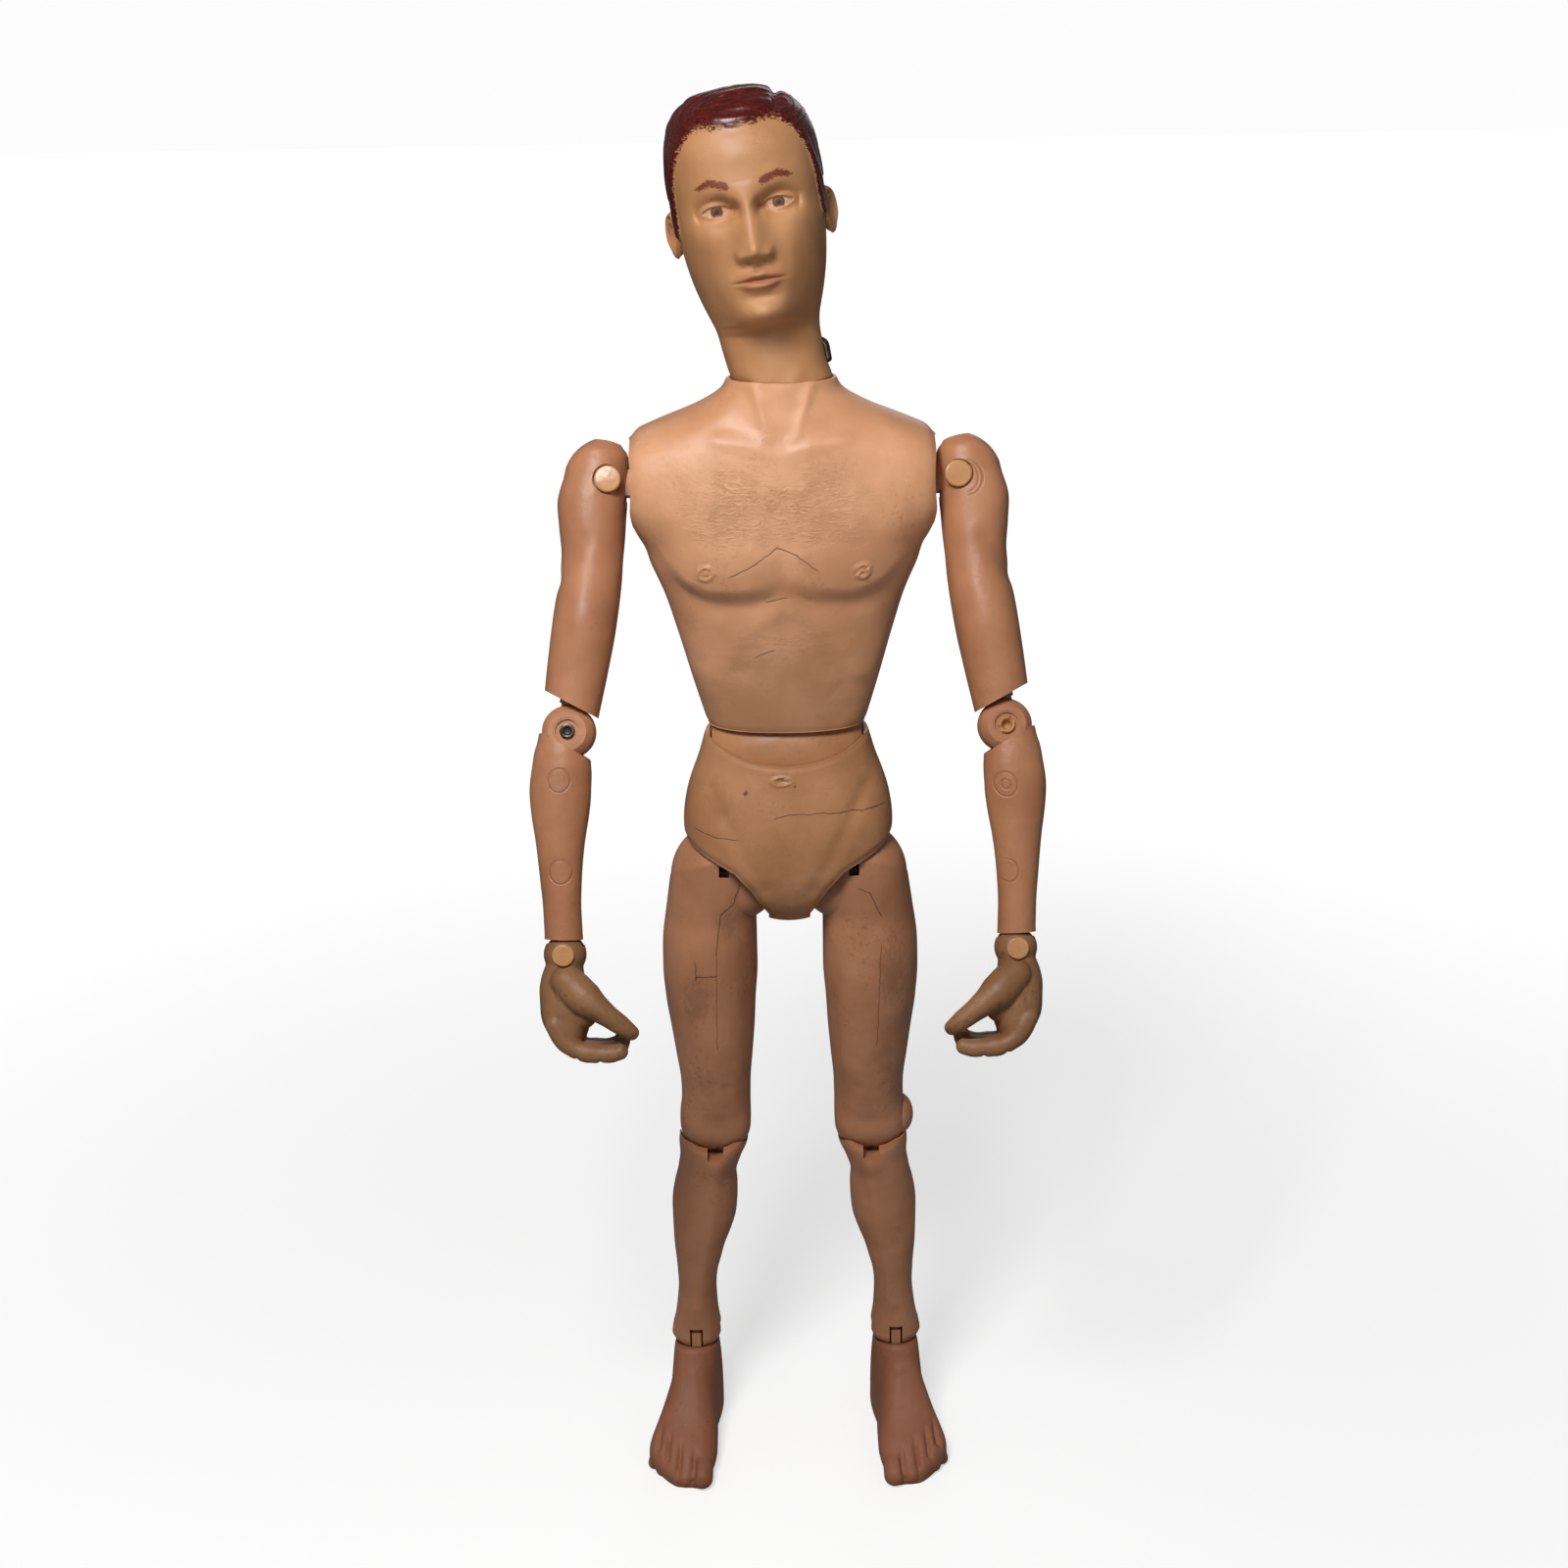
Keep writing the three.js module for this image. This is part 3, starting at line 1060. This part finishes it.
function footSolid() {
  const sides = 14;
  const rings = FOOT_SECTIONS.map(([ahead, cx, halfWidth, height, squareness]) => {
    const middle = Math.min(4, height / 2);
    const points = [];
    for (let side = 0; side < sides; side += 1) {
      const angle = 2 * Math.PI * side / sides;
      const across = Math.cos(angle);
      const up = Math.sin(angle);
      const power = up < 0 ? 3.2 : squareness;
      const depth = up < 0 ? middle + 0.4 : height - middle;
      const x = Math.sign(across) * Math.abs(across) ** (2 / power) * halfWidth;
      const z = Math.sign(up) * Math.abs(up) ** (2 / power) * depth;
      points.push(new THREE.Vector3(cx + x, -ahead, middle + z));
    }
    return points;
  });
  const toes = TOES.map(([across, reach, radius]) => finger([
    [across * 0.75 + 0.5, -reach + 10, radius + 1.2],
    [across * 0.95, -reach + 4.5, radius + 0.8],
    [across, -reach + radius, radius - 0.25],
  ], [radius + 0.3, radius, radius]));
  const body = join(skin(rings), ...toes);
  const stemFrom = ANKLE_HEIGHT - ANKLE_BALL_RADIUS - 0.2;
  const [[rimBack, rimBackHeight], [rimFront, rimFrontHeight]] = FOOT_RIM;
  const slope = (rimFrontHeight - rimBackHeight) / (rimFront - rimBack);
  const aboveRim = prism('x', [
    [FAR, rimBackHeight - slope * (FAR + rimBack)],
    [-FAR, rimFrontHeight + slope * (FAR - rimFront)],
    [-FAR, 2 * FAR],
    [FAR, 2 * FAR],
  ], -FAR, FAR);
  const raised = cut(
    body,
    aboveRim,
    block([-FAR, -FAR, -FAR], [FAR, FAR, 0]),
    ball(ANKLE_BALL_RADIUS + JOINT_GAP, [0, 0, ANKLE_HEIGHT]),
    bar(
      'z',
      ANKLE_STEM_RADIUS + PIN_GAP,
      stemFrom - ANKLE_STEM_LENGTH - PIN_GAP,
      ANKLE_HEIGHT,
      [0, 0],
      16,
    ),
  );
  return raised.translate([0, 0, -ANKLE_HEIGHT]);
}

// Assembly

const figure = new THREE.Group();
figure.name = 'posable_figure';
const stand = group('stand', figure, [0, 0, 0]);

const hipHeight = ANKLE_HEIGHT + SHIN_LENGTH + THIGH_LENGTH;
const pelvis = group('pelvis_body', stand, [0, 0, hipHeight]);
piece('pelvis', pelvis, pelvisSolid(), FINISHES.pelvis);
const knot = HIP_X + HIP_LINK_HALF + 0.7;
const hipCord = join(
  bar('x', CROSS_CORD_RADIUS, -knot - 2, knot + 2, [HIP_Y, HIP_EYE_HEIGHT], 12),
  bar('x', CORD_KNOT_RADIUS, knot, knot + 2.2, [HIP_Y, HIP_EYE_HEIGHT], 12),
  bar('x', CORD_KNOT_RADIUS, -knot - 2.2, -knot, [HIP_Y, HIP_EYE_HEIGHT], 12),
);
piece('hip_elastic', pelvis, hipCord, FINISHES.cord);

const waistTilt = group('waist_tilt', pelvis, [0, CORD_Y, HIP_TO_WAIST]);
piece('waist_barrel', waistTilt, waistBarrelSolid(), FINISHES.pelvis);
piece('waist_stud', waistTilt, waistStudSolid(), FINISHES.steel);

const waistTurn = group('waist_turn', waistTilt, [0, 0, 0]);
const chest = group('chest', waistTurn, [0, -CORD_Y, WAIST_TO_CHEST]);
const whole = chestSolid();
const frontHalf = block([-FAR, -FAR, -FAR], [FAR, 0, CHEST_HEIGHT + FAR]);
piece('chest_front_shell', chest, whole.intersect(frontHalf), FINISHES.chest);
piece('chest_back_shell', chest, cut(whole, frontHalf), FINISHES.chest);

const [hook, hookSeat] = neckHookSolid();
const neckHeight = CHEST_HEIGHT + COLLAR_TO_NECK;
const cordFrom = STUD_HEIGHT - 3 + PIN_GAP - WAIST_TO_CHEST;
const cordTo = neckHeight + hookSeat - PIN_GAP;
const bodyCord = bar('z', CORD_RADIUS, cordFrom, cordTo, [0, CORD_Y], 12);
piece('body_elastic', chest, bodyCord, FINISHES.cord);

const [hub, hubSeat] = shoulderHubSolid();
const crossReach = SHOULDER_X + hubSeat - PIN_GAP;
const crossPlace = [SHOULDER_Y, CHEST_TO_SHOULDER];
const crossCord = bar('x', CROSS_CORD_RADIUS, -crossReach, crossReach, crossPlace, 12);
piece('shoulder_elastic', chest, crossCord, FINISHES.cord);

const neckTurn = group('neck_turn', chest, [0, CORD_Y, neckHeight]);
piece('neck_hook', neckTurn, hook, FINISHES.steel);
const neckNod = group('neck_nod', neckTurn, [0, 0, 0]);
neckNod.rotation.y = -THREE.MathUtils.degToRad(HEAD_LEAN);
piece('head', neckNod, headSolid(), FINISHES.head);
piece('neck_pin', neckNod, neckPinSolid(), FINISHES.steel);

const armPieces = {
  upperArm: upperArmSolid(),
  shoulderPin: shoulderPinSolid(),
  knuckle: elbowKnuckleSolid(),
  forearm: forearmSolid(),
  elbowPin: elbowPinSolid(),
  post: wristPostSolid(),
  hand: handSolid(),
  wristPin: wristPinSolid(),
};
const legPieces = {
  link: hipLinkSolid(),
  thigh: thighSolid(),
  hipPin: bar('x', HIP_PIN_RADIUS, -5.5, 8, [0, 0], 16),
  kneeLink: kneeLinkSolid(),
  shin: shinSolid(),
  anklePin: bar('x', ANKLE_PIN_RADIUS, -4.6, 4.6, [0, 0], 16),
  ankleLink: ankleLinkSolid(),
  foot: footSolid(),
};

[['right', -1], ['left', 1]].forEach(([name, side]) => {
  const degrees = THREE.MathUtils.degToRad;
  const swing = group(`${name}_shoulder_swing`, chest, [
    side * SHOULDER_X,
    SHOULDER_Y,
    CHEST_TO_SHOULDER,
  ]);
  swing.rotation.x = -degrees(ARM_FORWARD);
  piece(`${name}_shoulder_hub`, swing, hub, FINISHES.arm, side);
  const lift = group(`${name}_shoulder_lift`, swing, [0, 0, 0]);
  lift.rotation.y = -side * degrees(ARM_OUT);
  piece(`${name}_upper_arm`, lift, armPieces.upperArm, FINISHES.arm, side);
  piece(`${name}_shoulder_pin`, lift, armPieces.shoulderPin, FINISHES.cap, side);
  const elbowTwist = group(`${name}_elbow_twist`, lift, [0, 0, -UPPER_ARM_LENGTH]);
  piece(`${name}_elbow_knuckle`, elbowTwist, armPieces.knuckle, FINISHES.knuckle, side);
  const elbowBend = group(`${name}_elbow_bend`, elbowTwist, [0, 0, 0]);
  elbowBend.rotation.y = side * degrees(ELBOW_IN);
  piece(`${name}_forearm`, elbowBend, armPieces.forearm, FINISHES.arm, side);
  piece(`${name}_elbow_pin`, elbowBend, armPieces.elbowPin, FINISHES.steel, side);
  const wristTwist = group(`${name}_wrist_twist`, elbowBend, [0, 0, -FOREARM_LENGTH]);
  piece(`${name}_wrist_post`, wristTwist, armPieces.post, FINISHES.knuckle, side);
  const wristBend = group(`${name}_wrist_bend`, wristTwist, [0, 0, 0]);
  piece(`${name}_hand`, wristBend, armPieces.hand, FINISHES.hand, side);
  piece(`${name}_wrist_pin`, wristBend, armPieces.wristPin, FINISHES.cap, side);

  const hipLift = group(`${name}_hip_lift`, pelvis, [side * HIP_X, HIP_Y, 0]);
  piece(`${name}_hip_link`, hipLift, legPieces.link, FINISHES.steel, side);
  const hipSwing = group(`${name}_hip_swing`, hipLift, [0, 0, 0]);
  piece(`${name}_thigh`, hipSwing, legPieces.thigh, FINISHES.leg, side);
  piece(`${name}_hip_pin`, hipSwing, legPieces.hipPin, FINISHES.steel, side);
  const kneePlace = [side * KNEE_OUT, KNEE_BACK, -THIGH_LENGTH];
  const kneeHolder = group(`${name}_knee_pin_holder`, hipSwing, kneePlace);
  piece(`${name}_knee_pin`, kneeHolder, kneePinSolid(side > 0), FINISHES.leg, side);
  const kneeBend = group(`${name}_knee_bend`, hipSwing, kneePlace);
  piece(`${name}_knee_link`, kneeBend, legPieces.kneeLink, FINISHES.leg, side);
  piece(`${name}_shin`, kneeBend, legPieces.shin, FINISHES.leg, side);
  const anklePlace = [side * ANKLE_OUT, ANKLE_BACK, -SHIN_LENGTH];
  const ankleHolder = group(`${name}_ankle_pin_holder`, kneeBend, anklePlace);
  piece(`${name}_ankle_pin`, ankleHolder, legPieces.anklePin, FINISHES.steel, side);
  const ankleBend = group(`${name}_ankle_bend`, kneeBend, anklePlace);
  piece(`${name}_ankle_link`, ankleBend, legPieces.ankleLink, FINISHES.leg, side);
  const footTurn = group(`${name}_foot_turn`, ankleBend, [0, 0, 0]);
  footTurn.rotation.z = side * degrees(TOES_OUT);
  piece(`${name}_foot`, footTurn, legPieces.foot, FINISHES.leg, side);
});

// The middle of the figure's own box stands over the origin.
figure.updateMatrixWorld(true);
const box = new THREE.Box3().setFromObject(figure, true);
stand.position.set(-(box.min.x + box.max.x) / 2, -(box.min.y + box.max.y) / 2, -box.min.z);

export default figure;
